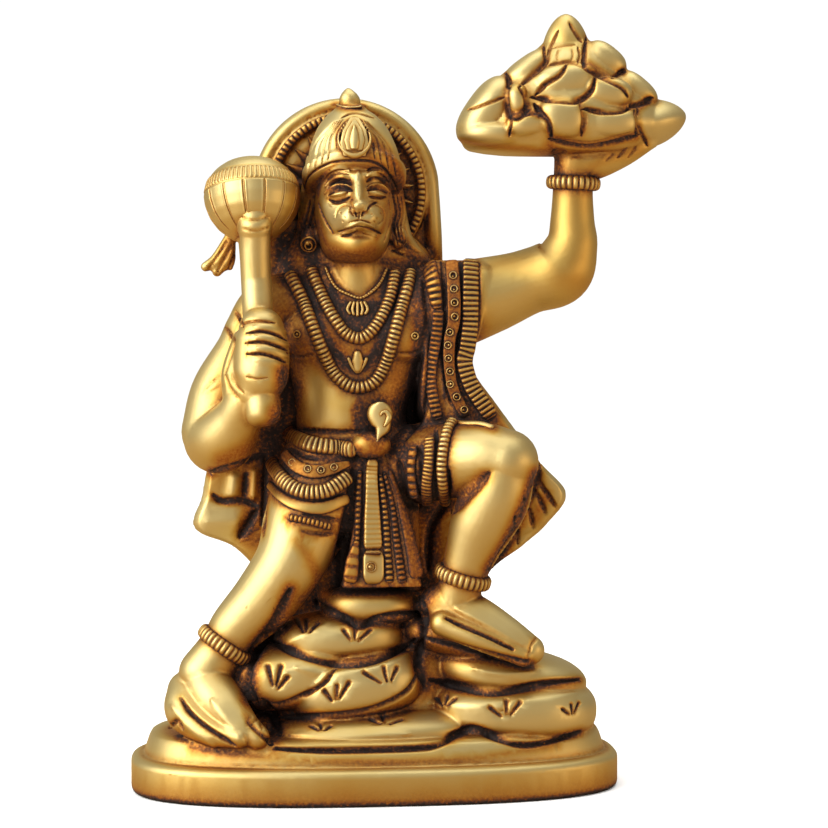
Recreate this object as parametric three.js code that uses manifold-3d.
// A cast brass figurine of Hanuman, who strides over rocks with a mace and lifts the mountain of herbs.
// Figure, rocks and stepped oval plinth are one casting, so they are one solid.
// Millimetres, +Z up. The figure faces -Y, and the origin is the centre of the plinth's underside.
import * as THREE from "three";
import { mergeVertices } from "three/addons/utils/BufferGeometryUtils.js";
import Module from "manifold-3d";

// Plinth: a low slab with a smaller step on it, both a squared oval in plan
const PLINTH_WIDTH = 112.5;
const PLINTH_DEPTH = 56;
const SLAB_HEIGHT = 8.5;
const STEP_HEIGHT = 5.5;
const STEP_INSET = 3;
const STEP_SLOPE = 1.4; // how far the step's side leans in over its height
const EDGE_ROUND = 2;
const PLAN_POWER = 2.7; // 2 is an ellipse, and more is squarer
const ROCK_POWER = 2.6; // 2 is a ball, and more is squarer

// Figure: from the plinth's top to the mountain's peak. Its forms are in hundredths of this height.
const FIGURE_HEIGHT = 164;
const UNIT = FIGURE_HEIGHT / 100;
const PLINTH_TOP = SLAB_HEIGHT + STEP_HEIGHT;

const FIGURE_SPACE = new THREE.Matrix4().makeScale(UNIT, UNIT, UNIT).setPosition(0, 0, PLINTH_TOP);
const MILLIMETRES = new THREE.Matrix4();

const ACROSS = new THREE.Vector3(0, 1, 0); // limbs lie mostly in the plane that faces the viewer
const UPRIGHT = new THREE.Vector3(0, 0, 1);
const BRASS = new THREE.MeshStandardMaterial({ color: 0xc9973f, roughness: 0.32, metalness: 1 });

const wasm = await Module();
wasm.setup();

// Builds a manifold solid from points and triangles, and turns it the right way out.
function closed(positions, triangles) {
  const vertProperties = new Float32Array(positions);
  const build = (triVerts) => new wasm.Manifold(new wasm.Mesh({ numProp: 3, vertProperties, triVerts }));
  const made = build(new Uint32Array(triangles));
  return made.volume() > 0 ? made : build(new Uint32Array([...triangles].reverse()));
}

// Turns a three.js geometry in the figure's space into a manifold solid.
function solid(geometry) {
  const bare = geometry.index ? geometry.toNonIndexed() : geometry.clone();
  bare.applyMatrix4(FIGURE_SPACE);
  bare.deleteAttribute("normal");
  bare.deleteAttribute("uv");
  const merged = mergeVertices(bare, 1e-4);
  return closed(merged.attributes.position.array, merged.index.array);
}

const fuse = (solids) => solids.reduce((whole, piece) => whole.add(piece));

// Skins a stack of rings that have as many points each, with a fan over both ends.
function skin(rings, space = FIGURE_SPACE) {
  const sides = rings[0].length;
  const points = rings.flat();
  const triangles = [];
  for (let ring = 0; ring < rings.length - 1; ring++) {
    for (let side = 0; side < sides; side++) {
      const a = ring * sides + side;
      const b = ring * sides + ((side + 1) % sides);
      triangles.push(a, b, b + sides, a, b + sides, a + sides);
    }
  }
  for (const [ring, first] of [[rings.at(-1), (rings.length - 1) * sides], [rings[0], 0]]) {
    const middle = points.length;
    points.push(ring.reduce((sum, p) => sum.add(p), new THREE.Vector3()).divideScalar(sides));
    for (let side = 0; side < sides; side++) {
      const fan = [first + side, first + ((side + 1) % sides), middle];
      triangles.push(...(first ? fan : fan.reverse()));
    }
  }
  return closed(points.flatMap((p) => p.applyMatrix4(space).toArray()), triangles);
}

// An oval ring square to a direction: wide as seen from the front, deep towards the viewer.
function oval(centre, direction, wide, deep, sides, depthAxis = ACROSS) {
  const side = new THREE.Vector3().crossVectors(direction, depthAxis).normalize();
  const front = new THREE.Vector3().crossVectors(side, direction).normalize();
  return Array.from({ length: sides }, (_, i) => {
    const turn = (2 * Math.PI * i) / sides;
    return centre.clone()
      .addScaledVector(side, wide * Math.cos(turn))
      .addScaledVector(front, deep * Math.sin(turn));
  });
}

// A rounded limb through stations [x, y, z, half width, half depth], with a ring at each.
// An end that shows is domed.
function limb(stations, { sides = 10, depthAxis = ACROSS, domes = [0, 0] } = {}) {
  const path = new THREE.CatmullRomCurve3(stations.map(([x, y, z]) => new THREE.Vector3(x, y, z)));
  const last = stations.length - 1;
  const section = (i, share, ahead = 0) => {
    const [, , , wide, deep = wide] = stations[i];
    const along = path.getTangent(i / last);
    const centre = path.getPoint(i / last).addScaledVector(along, ahead * Math.min(wide, deep));
    return oval(centre, along, wide * share, deep * share, sides, depthAxis);
  };
  const dome = (i, way) =>
    [0.5, 0.85].map((share) => section(i, Math.sqrt(1 - share * share), way * share));
  const rings = stations.map((_, i) => section(i, 1));
  if (domes[0]) rings.unshift(...dome(0, -1).reverse());
  if (domes[1]) rings.push(...dome(last, 1));
  return skin(rings);
}

// A bracelet or hem on a limb: swollen stations between two points of it.
function cuff([ax, ay, az, a], [bx, by, bz, b], rise) {
  const start = [ax, ay, az, a];
  const end = [bx, by, bz, b];
  const at = (t, more) => start.map((value, i) => value + (end[i] - value) * t + (i === 3 ? more : 0));
  return [at(0, 0), at(0.12, rise), at(0.88, rise), at(1, 0)];
}

// A trunk of oval sections [z, x, y, half width, half depth, degrees that its front is raised].
function trunk(sections, sides = 14) {
  return skin(
    sections.map(([z, x, y, wide, deep, raised = 0]) => {
      const tilt = THREE.MathUtils.degToRad(raised);
      const direction = new THREE.Vector3(0, Math.sin(tilt), Math.cos(tilt));
      return oval(new THREE.Vector3(x, y, z), direction, wide, deep, sides);
    }),
  );
}

// An ellipsoid, turned by degrees about X, Y and Z.
function lump([x, y, z], [wide, deep, tall], turn = [0, 0, 0], sides = 7) {
  const place = new THREE.Matrix4().compose(
    new THREE.Vector3(x, y, z),
    new THREE.Quaternion().setFromEuler(new THREE.Euler(...turn.map(THREE.MathUtils.degToRad))),
    new THREE.Vector3(wide, deep, tall),
  );
  return solid(new THREE.SphereGeometry(1, sides, Math.round(sides * 0.6)).applyMatrix4(place));
}

// A boulder: a ball squared off a little, then leant in the plane that faces the viewer.
function rock([x, y, z], [wide, deep, tall], lean = 0) {
  const ball = new THREE.IcosahedronGeometry(1, 1);
  const corners = ball.getAttribute("position");
  const corner = new THREE.Vector3();
  for (let i = 0; i < corners.count; i++) {
    corner.fromBufferAttribute(corners, i);
    const powers = corner.toArray().map((share) => Math.abs(share) ** ROCK_POWER);
    const reach = powers.reduce((sum, power) => sum + power) ** (1 / ROCK_POWER);
    corners.setXYZ(i, ...corner.divideScalar(reach).toArray());
  }
  const place = new THREE.Matrix4().compose(
    new THREE.Vector3(x, y, z),
    new THREE.Quaternion().setFromAxisAngle(ACROSS, THREE.MathUtils.degToRad(lean)),
    new THREE.Vector3(wide, deep, tall),
  );
  return solid(ball.applyMatrix4(place));
}

// A turned form: rings [distance, radius, lobe share] along the line from one point towards another.
function turned(from, to, profile, { sides = 16, lobes = 0, depth = 0 } = {}) {
  const start = new THREE.Vector3(...from);
  const axis = new THREE.Vector3(...to).sub(start).normalize();
  return skin(
    profile.map(([distance, radius, share = 0]) => {
      const middle = start.clone().addScaledVector(axis, distance);
      return oval(middle, axis, radius, radius, sides).map((p, i) =>
        p.lerp(middle, share * depth * Math.abs(Math.cos((lobes * Math.PI * i) / sides))),
      );
    }),
  );
}

// The plinth's plan at an inset from its outer edge.
function plan(height, inset, sides = 32) {
  const curve = (share) => Math.sign(share) * Math.abs(share) ** (2 / PLAN_POWER);
  return Array.from({ length: sides }, (_, i) => {
    const turn = (2 * Math.PI * i) / sides;
    return new THREE.Vector3(
      (PLINTH_WIDTH / 2 - inset) * curve(Math.cos(turn)),
      (PLINTH_DEPTH / 2 - inset) * curve(Math.sin(turn)),
      height,
    );
  });
}

function plinth() {
  const round = Math.min(EDGE_ROUND, SLAB_HEIGHT / 3, STEP_HEIGHT / 3);
  return skin([
    plan(0, round * 0.4),
    plan(round * 0.4, 0),
    plan(SLAB_HEIGHT - round, 0),
    plan(SLAB_HEIGHT, round),
    plan(SLAB_HEIGHT, STEP_INSET + round * 0.4),
    plan(SLAB_HEIGHT + round * 0.6, STEP_INSET),
    plan(PLINTH_TOP - round, STEP_INSET + STEP_SLOPE),
    plan(PLINTH_TOP, STEP_INSET + STEP_SLOPE + round * 1.2),
  ], MILLIMETRES);
}

// The rocks sit on the step, and keep their place across it as shares of its half width and half depth.
function groundRocks() {
  const halfWidth = (PLINTH_WIDTH / 2 - STEP_INSET - STEP_SLOPE) / UNIT;
  const halfDepth = (PLINTH_DEPTH / 2 - STEP_INSET - STEP_SLOPE) / UNIT;
  const across = [halfWidth, halfDepth, halfWidth, halfDepth];
  const mound = trunk([
    // z, x, y, half width, half depth
    [-0.4, -0.04, 0.1, 0.54, 0.72],
    [4, -0.02, 0.12, 0.5, 0.68],
    [9, 0.04, 0.12, 0.42, 0.56],
    [13, 0.06, 0.12, 0.34, 0.44],
    [19, 0.02, 0.06, 0.24, 0.3],
  ].map(([z, ...shares]) => [z, ...shares.map((share, i) => share * across[i])]), 9);
  const stones = [
    // x and y shares, z, half sizes as shares and in height, lean
    [0.6, 0.0, 2.4, 0.39, 0.86, 4.9, 2],
    [0.6, -0.02, 7.2, 0.35, 0.66, 3.4, 10],
    [-0.02, -0.3, -0.4, 0.47, 0.6, 3.6, -2],
    [-0.1, -0.28, 5.2, 0.29, 0.56, 4.4, -10],
    [-0.37, -0.2, 7.8, 0.28, 0.54, 5.2, -8],
    [-0.17, -0.14, 12.2, 0.29, 0.5, 3.7, -3],
    [-0.02, -0.08, 17.4, 0.22, 0.44, 3, 4],
    [-0.62, 0.1, 0, 0.24, 0.6, 3.2, 0],
  ];
  return [mound, ...stones.map(([x, y, z, wide, deep, tall, lean]) =>
    rock([x * halfWidth, y * halfDepth, z], [wide * halfWidth, deep * halfDepth, tall], lean),
  )];
}

function body() {
  const torso = trunk([
    // z, x, y, half width, half depth, raised; the belt is the ridge at the hips
    [66.6, -2.9, 0, 3.4, 3],
    [65, -2.8, 0.4, 5.6, 3.4],
    [63, -2.4, 1, 9.4, 4.4],
    [59.4, -2.4, 1, 11.4, 5.6],
    [54.6, -2.4, 0.5, 10.8, 6.2],
    [49.4, -2.6, 0.5, 9.2, 5.8],
    [45, -3.2, 0.3, 7.8, 6.2],
    [41.6, -3.2, 0.2, 7.6, 6.2, -6],
    [41.4, -3.2, 0.2, 8.5, 7.1, -6],
    [39.8, -3, 0.1, 8.7, 7.3, -6],
    [39.4, -3, 0.1, 8, 6.2, -6],
    [34, -2.6, 0.2, 8.8, 6],
    [16, -0.6, 1, 7, 5],
  ]);
  const chest = [-7.2, 2.4].map((x) => lump([x, -1.7, 55], [6, 4.2, 4.8]));
  return [torso, ...chest];
}

function maceArm() {
  const upper = limb([
    [-10, 1, 59.4, 4.6],
    [-14.6, 0.9, 58.6, 4.3],
    [-17.2, 0.5, 55.4, 3.7],
    ...cuff([-17.8, 0.3, 54.2, 3.6], [-18.8, 0, 51.8, 3.7], 0.6),
    [-20.9, -0.4, 47, 4.8],
    [-22, -1.4, 41.6, 5.2],
  ], { sides: 9, domes: [0, 1] });
  const fore = limb([
    [-22, -2.2, 40.6, 4.8],
    [-21, -5.2, 41.2, 4.4],
    [-19.4, -8, 44, 3.3],
    ...cuff([-18.9, -8.8, 45.2, 2.9], [-18.1, -9.8, 47.2, 2.8], 0.8),
    [-16.6, -10.4, 50.4, 2.8],
  ], { sides: 9, domes: [1, 0] });
  // four fingers round the handle, each from its own distance along it
  const fingers = [0, 1.75, 3.5, 5.25];
  const grip = fingers.flatMap((start) => [[start, 2.7], [start + 0.4, 3.25], [start + 1.35, 3.25]]);
  const profile = [[-0.6, 1.8], ...grip, [7, 2.7], [7.4, 1.8]];
  const fist = turned([-16, -10.7, 48.6], [-16.2, -8.9, 56], profile, { sides: 8 });
  return [upper, fore, fist];
}

// The mace leans back from the fist, with a lobed onion head on a collar.
function mace() {
  const profile = [
    [-0.2, 1.6], [0.3, 2.1], [3.6, 2.2], [4.6, 1.8], [24.4, 2.4], [25, 3], [26, 3], [27.6, 4.7, 1],
    [29.8, 6.2, 1], [32, 6.6, 1], [34, 6], [36, 4.5], [37.8, 1.4],
  ];
  const lobed = { sides: 14, lobes: 7, depth: 0.08 };
  return [turned([-16.2, -12.3, 43.4], [-17.2, -2.6, 74.2], profile, lobed)];
}

function mountainArm() {
  const arm = limb([
    [4, 0.6, 57.6, 5.6],
    [10, 0.5, 58.8, 6.2],
    [16.5, 0, 60.6, 5.4],
    [21.6, -1, 62.4, 4.6],
    [25.8, -2, 64, 4.8],
    [27.5, -2.4, 67.6, 3.7],
    [27.6, -2.4, 71, 3.1],
    ...cuff([27.7, -2.4, 74.6, 2.8], [27.8, -2.4, 77.4, 2.8], 0.8),
    [28.2, -2.4, 79.4, 3.2],
  ]);
  const palm = limb([
    [26.8, -2.4, 79, 2.9],
    [30.5, -2.8, 79.4, 2.8],
    [34.5, -3, 80.4, 2],
    [38.6, -3, 82.2, 1.2],
  ], { sides: 7, domes: [0, 1] });
  return [arm, palm];
}

// The mountain is a heap of boulders with a cone on top, on a slab that curves under.
function mountain() {
  const heap = trunk([
    [80, 24.6, -1, 7, 3.6],
    [80.6, 25.2, -1, 12.2, 6],
    [81.8, 25.6, -1, 14, 7.2],
    [83.6, 26.4, -1, 14.9, 7.8],
    [85.2, 27, -1, 14.9, 7.6],
    [87.4, 26.6, -1, 13.3, 7],
    [89.2, 26.5, -1, 11.6, 6.2],
    [91.6, 26.5, -1, 8.7, 5.2],
    [93.6, 27.1, -1, 6.4, 4.4],
    [95, 26.9, -1, 4, 3.4],
    [96.4, 26.8, -1, 2.9, 2.7],
    [98.4, 26.6, -1, 1.6, 1.6],
    [100, 26.6, -1, 0.4, 0.4],
  ], 14);
  const stones = [
    // x, y, z, half width, half depth, half height, lean
    [21.6, -1.8, 91.4, 3.9, 3.4, 2, -34],
    [16.8, -1.6, 86, 5.4, 4.6, 3.1, -56],
    [18.4, -2, 82.6, 6.6, 5.4, 2, 0],
    [32.4, -1.8, 93.2, 2.5, 3.2, 2.3, 40],
    [35.4, -1.6, 89.4, 3.8, 4.2, 2.2, 40],
    [39.3, -1.4, 85, 3.7, 3.6, 2.5, -22],
    [26.4, -5, 89.4, 4.6, 3, 2.6, -12],
  ];
  return [heap, ...stones.map(([x, y, z, wide, deep, tall, lean]) =>
    rock([x, y, z], [wide, deep, tall], lean),
  )];
}

function legs() {
  const right = limb([
    [-6.6, -1.2, 37.6, 6.4],
    ...cuff([-7.2, -1.8, 36.2, 6.6], [-8, -2.6, 33.6, 6.7], 0.5),
    ...cuff([-8.3, -2.8, 32.9, 6.5], [-8.9, -3.4, 31, 6.4], 0.5),
    [-10.4, -4.8, 28, 5.8],
    [-12.4, -6, 23.6, 4.9],
    [-15.7, -5.6, 18.8, 4.5],
    [-19.6, -5, 14.6, 3.8],
    ...cuff([-20.6, -5, 13.2, 3.4], [-22.2, -5, 11, 3.3], 0.8),
    [-24, -5.2, 8.4, 3.7],
  ], { sides: 9, domes: [0, 1] });
  const rightFoot = limb([
    [-23.4, -3.4, 8.6, 3],
    [-23.6, -6, 6.6, 3.6],
    [-21.6, -9.2, 4, 3.4],
    [-19.4, -11.4, 2, 2.6],
    [-17.2, -13, 0.7, 1.7],
  ], { sides: 8, domes: [1, 1] });
  const rightToes = limb([
    [-26.4, -4.6, 5.8, 2.9],
    [-26.6, -7.8, 3.4, 2.9],
    [-23.4, -11.4, 1.4, 2],
    [-19.8, -13.4, 0.5, 1.3],
  ], { sides: 6, domes: [1, 0] });
  const thigh = limb([
    [2, 0, 36.4, 5.8],
    ...cuff([6, -2.8, 37, 5.5], [8.4, -4.3, 37.4, 5.4], 0.6),
    [11.2, -6.2, 37.8, 5.2],
    [14.6, -8.2, 38.1, 4.9],
    [17.4, -9.6, 37.8, 4.4],
  ], { sides: 9, domes: [0, 1] });
  const shin = limb([
    [17, -9.4, 37, 4.3],
    [16, -9, 33, 4.8],
    [14.2, -8.4, 29, 4.5],
    [12.8, -7.9, 25.4, 3.7],
    ...cuff([12, -7.6, 23.2, 3.4], [11.4, -7.3, 20.6, 3.2], 0.8),
    [10.2, -6.6, 16.4, 3],
  ], { sides: 9 });
  const leftFoot = limb([
    [8.8, -6, 17.5, 3.2],
    [12.8, -7.6, 16.2, 3.1],
    [17, -9, 13.8, 2.7],
    [20.6, -10, 11.6, 2.1],
  ], { sides: 8, domes: [1, 1] });
  const leftToes = limb([[8.6, -9.2, 15.4, 1.8], [13.4, -10.8, 13.4, 1.6], [19.6, -11.2, 10.9, 1.4]], {
    sides: 5,
    domes: [1, 0],
  });
  return [right, rightFoot, rightToes, thigh, shin, leftFoot, leftToes];
}

// The face is an egg with its features raised or sunk from the front.
function face() {
  const features = [
    // x, z, rise, half width, half height
    [0.2, 70.3, 2.2, 3.4, 2.2], // muzzle
    [-1.7, 71.5, 0.8, 1.35, 1.35], // cheeks
    [2.4, 71.5, 0.8, 1.25, 1.3],
    [0.1, 74.8, 1.5, 0.9, 2], // nose
    [0.3, 72.7, 1.2, 1.5, 0.9],
    [0, 66.4, 1.5, 3.2, 1.7], // chin
    [0, 69, -1.1, 3, 0.6], // mouth
    [-2.6, 74.8, -1, 2, 1.6], // eye sockets
    [2.8, 74.8, -1, 2, 1.6],
    [-2.6, 74.6, 1.4, 1.4, 0.8], // eyes
    [2.8, 74.6, 1.4, 1.4, 0.8],
    [-2.6, 77.1, 1.3, 2.2, 0.8], // brows
    [2.7, 77.1, 1.3, 2.2, 0.8],
  ];
  const rows = 16;
  const columns = 18;
  const [x0, y0, z0] = [-3.1, -2.4, 72.8];
  return skin(
    Array.from({ length: rows }, (_, row) => {
      const z = z0 - 7.7 + (14.6 * row) / (rows - 1);
      const power = z < z0 ? 3.5 : 2; // the jaw is squarer than the brow
      const girth = (1 - Math.abs((z - z0) / 7.8) ** power) ** (1 / power);
      return Array.from({ length: columns }, (_, i) => {
        const even = (2 * Math.PI * i) / columns;
        const turn = even - 0.5 * Math.sin(even); // closer together at the front
        const x = Math.sin(turn) * girth * (5.4 - 0.06 * Math.max(0, z0 - z));
        const ahead = Math.max(0, Math.cos(turn) * girth);
        const rise = features.reduce((sum, [fx, fz, up, wide, tall]) => {
          const away = ((x - fx) / wide) ** 2 + ((z - fz) / tall) ** 2;
          return sum + up * Math.exp(-away);
        }, 0);
        return new THREE.Vector3(x0 + x, y0 - 5.6 * Math.cos(turn) * girth - ahead * rise, z);
      });
    }),
  );
}

function head() {
  const crown = trunk([
    // the rim arches over the brow and dips to the nape
    [75.6, -3, -1.8, 6.6, 5.8, 26],
    [76.4, -3, -2, 7.3, 6.5, 26],
    [77.8, -3, -2, 7.3, 6.5, 24],
    [78.6, -3, -1.8, 6.5, 6, 22],
    [81, -3.1, -1.3, 6, 5.6, 16],
    [83.8, -3.2, -0.9, 4.7, 4.8, 8],
    [86, -3.4, -0.9, 3, 3.1],
    [87, -3.5, -1, 1.5, 1.5],
    [88.6, -3.6, -1.1, 1.2, 1.2],
    [89.7, -3.7, -1.1, 0.4, 0.4],
  ], 12);
  const mane = trunk([
    [80, -3, 1.6, 6.4, 2.8],
    [74, -3, 1.6, 7.4, 3.2],
    [69, -2.8, 1.4, 8.2, 3.4],
    [65.6, -2.6, 1.4, 10.4, 3.4],
    [61, -2.4, 1.6, 12, 3.4],
  ], 10);
  const jewel = lump([-3, -6.6, 82.2], [2.3, 1.2, 2.6], [-26, 0, 0]);
  const earrings = [-9.2, 3.2].map((x) => lump([x, -1.6, 68.6], [1.2, 1.4, 1.6], [0, 0, 0], 6));
  return [face(), crown, mane, jewel, ...earrings];
}

// The halo is a disc behind the head, with a beaded border and rays on its face.
function halo() {
  const [x, y, z] = [-3.6, 4.4, 75];
  const root = trunk([
    [62, -2.6, 4, 11, 2.2],
    [68, -3.2, 4.4, 11.2, 1.6],
    [74, x, y, 11.3, 1],
  ], 10);
  const spokes = 24;
  const rings = [
    // radius, depth, how far every other spoke is raised as a ray
    [11.4, 1, 0],
    [11.4, -1, 0],
    [10.9, -1.5, 0],
    [10.2, -1.5, 0],
    [9.8, -0.9, 0],
    [9.3, -0.9, 0.7],
    [5, -0.9, 0.7],
  ];
  return [root, skin(
    rings.map(([radius, depth, raised]) =>
      Array.from({ length: spokes }, (_, i) => {
        const turn = (2 * Math.PI * i) / spokes;
        return new THREE.Vector3(
          x + radius * Math.cos(turn),
          y + depth - (i % 2 ? raised : 0),
          z + radius * Math.sin(turn),
        );
      }),
    ),
  )];
}

// The tail rises over the cloak, arches over the head as the halo's border and ends in a tuft.
function tail() {
  const [x, y, z] = [-3.6, 4.9, 75];
  const arch = Array.from({ length: 13 }, (_, i) => {
    const turn = (Math.PI * i) / 12;
    return [x + 12.1 * Math.cos(turn), y, z + 12.1 * Math.sin(turn), 1.15, 1.7];
  });
  const curl = limb([
    [1, 8, 38, 1.8],
    [5.4, 9.6, 47, 1.7],
    [8.6, 8, 57, 1.6],
    [8.9, 5.6, 66, 1.3, 1.7],
    ...arch,
    [-16.8, 4.4, 71.4, 1.1, 1.3],
    [-18.6, 3.4, 68.2, 1.1],
    [-20.8, 3, 65.2, 2, 1.4],
    [-23.2, 2.6, 62.9, 1, 0.8],
  ], { sides: 6, domes: [0, 1] });
  return [curl];
}

// The cloak hangs behind the figure from the shoulders, with folds down its back and a corner out to
// each side.
function cloak() {
  const rows = [
    // z, left, right, front, how far the back stands out, fold depth
    [70, -14.6, 8.4, 2.6, 2.6, 0.1],
    [64, -16.8, 9, 2.6, 3.6, 0.2],
    [57, -17.8, 12, 2.8, 5, 0.4],
    [50.5, -18.6, 14, 3, 5.6, 0.5],
    [45, -20.4, 17.8, 3, 5.8, 0.6],
    [37, -23.4, 23.8, 3, 6, 0.8],
    [32, -24.2, 28, 3.2, 6.2, 0.8],
    [27.6, -25.2, 25.2, 3.4, 6.4, 0.9],
    [24.6, -19.4, 21.8, 3.4, 6.4, 0.9],
    [19.6, -16, 16, 3.2, 6, 0.9],
    [8, -15, 12, 3, 5, 0.8],
  ];
  const folds = 6;
  const columns = 12;
  return skin(
    rows.map(([z, left, right, front, out, depth]) => {
      const back = Array.from({ length: columns + 1 }, (_, i) => {
        const t = i / columns;
        const bulge = 1.2 + out * Math.sqrt(Math.sin(Math.PI * t));
        const fold = depth * Math.cos(2 * Math.PI * folds * t) * Math.sin(Math.PI * t);
        return new THREE.Vector3(left + (right - left) * t, front + bulge + fold, z);
      });
      return [...back, new THREE.Vector3(right, front, z), new THREE.Vector3(left, front, z)];
    }),
  );
}

// Cloth with bands running down it, proud of the grooves between: rows [z, left, right, front, back].
function banded(rows, bands, proud) {
  const profile = Array.from({ length: bands }, (_, i) => [
    [i + 0.12, 0],
    [i + 0.25, 1],
    [i + 0.75, 1],
    [i + 0.88, 0],
  ]).flat();
  return skin(
    rows.map(([z, left, right, front, back]) => [
      ...profile.map(([place, up]) =>
        new THREE.Vector3(left + ((right - left) * place) / bands, front - proud * up, z),
      ),
      new THREE.Vector3(right, front + 0.4, z),
      new THREE.Vector3(right, back, z),
      new THREE.Vector3(left, back, z),
      new THREE.Vector3(left, front + 0.4, z),
    ]),
  );
}

// Three bands of the shawl fall over the shoulder of the raised arm on to the thigh.
function shawl() {
  return banded([
    [65.4, 8, 15.6, -1.6, 2],
    [64, 7.6, 16, -4, 3],
    [60, 7.4, 15.6, -5, 4],
    [52, 6.4, 13.4, -4.8, 4],
    [48, 6, 14, -4.8, 4],
    [42.4, 6, 18.4, -5, 4],
    [40.6, 6.4, 19.2, -5, 4],
  ], 3, 0.8);
}

// The sash hangs from its knot between the legs in spreading pleats, and a loop stands over the belt.
function sash() {
  const knot = lump([-1.3, -6.8, 40.2], [2.3, 1.8, 1.8], [0, 0, 0], 7);
  const loop = lump([0.2, -6, 43.6], [1.8, 1.6, 2.2], [0, 0, 0], 7);
  const pleats = banded([
    [40, -2.8, 0.6, -6, 0],
    [36, -3.1, 1.6, -6.8, 0],
    [30, -3.7, 3.6, -7.4, 0],
    [22.4, -4.9, 5.4, -8.4, 0],
    [20.4, -5.3, 5.8, -8.6, 0],
  ], 3, 0.8);
  return [knot, loop, pleats];
}

function necklaces() {
  const inner = [
    [-8.8, -1.8, 64.4, 0.9], [-8.2, -5, 60, 0.9], [-5.6, -6.6, 55, 0.95], [-2.6, -6.4, 52.8, 1],
    [0.6, -6.6, 55, 0.95], [2.8, -5, 60, 0.9], [3.4, -1.8, 64.4, 0.9],
  ];
  const outer = [
    [-12, -1.8, 62.8, 0.9], [-10.8, -5.4, 57.4, 0.95], [-7.8, -6.4, 51.6, 1], [-5.2, -6.2, 47.6, 1.05],
    [-2.2, -6.2, 46.4, 1.1], [0.6, -6.2, 48.2, 1.05], [3, -6.6, 53, 1], [4.8, -5.4, 58.4, 0.95],
    [5.6, -1.8, 63.4, 0.9],
  ];
  const pendant = lump([-2.7, -5, 58.6], [1.9, 1.2, 2.2], [0, 0, 0], 6);
  return [...[inner, outer].map((cord) => limb(cord, { sides: 4 })), pendant];
}

const casting = fuse([
  plinth(),
  ...groundRocks(),
  ...body(),
  ...head(),
  ...halo(),
  ...tail(),
  cloak(),
  shawl(),
  ...maceArm(),
  ...mace(),
  ...mountainArm(),
  ...mountain(),
  ...legs(),
  ...sash(),
  ...necklaces(),
]);

// Turns the finished solid back into a three.js geometry.
function geometryOf(made) {
  const { numProp, numVert, vertProperties, triVerts } = made.getMesh();
  const positions = new Float32Array(numVert * 3);
  for (let i = 0; i < numVert; i++) {
    positions.set(vertProperties.subarray(i * numProp, i * numProp + 3), i * 3);
  }
  const geometry = new THREE.BufferGeometry();
  geometry.setAttribute("position", new THREE.BufferAttribute(positions, 3));
  geometry.setIndex(new THREE.BufferAttribute(triVerts, 1));
  geometry.computeVertexNormals();
  return geometry;
}

const figurine = new THREE.Group();
const cast = new THREE.Mesh(geometryOf(casting), BRASS);
cast.name = "hanuman_figure";
figurine.add(cast);

export default figurine;
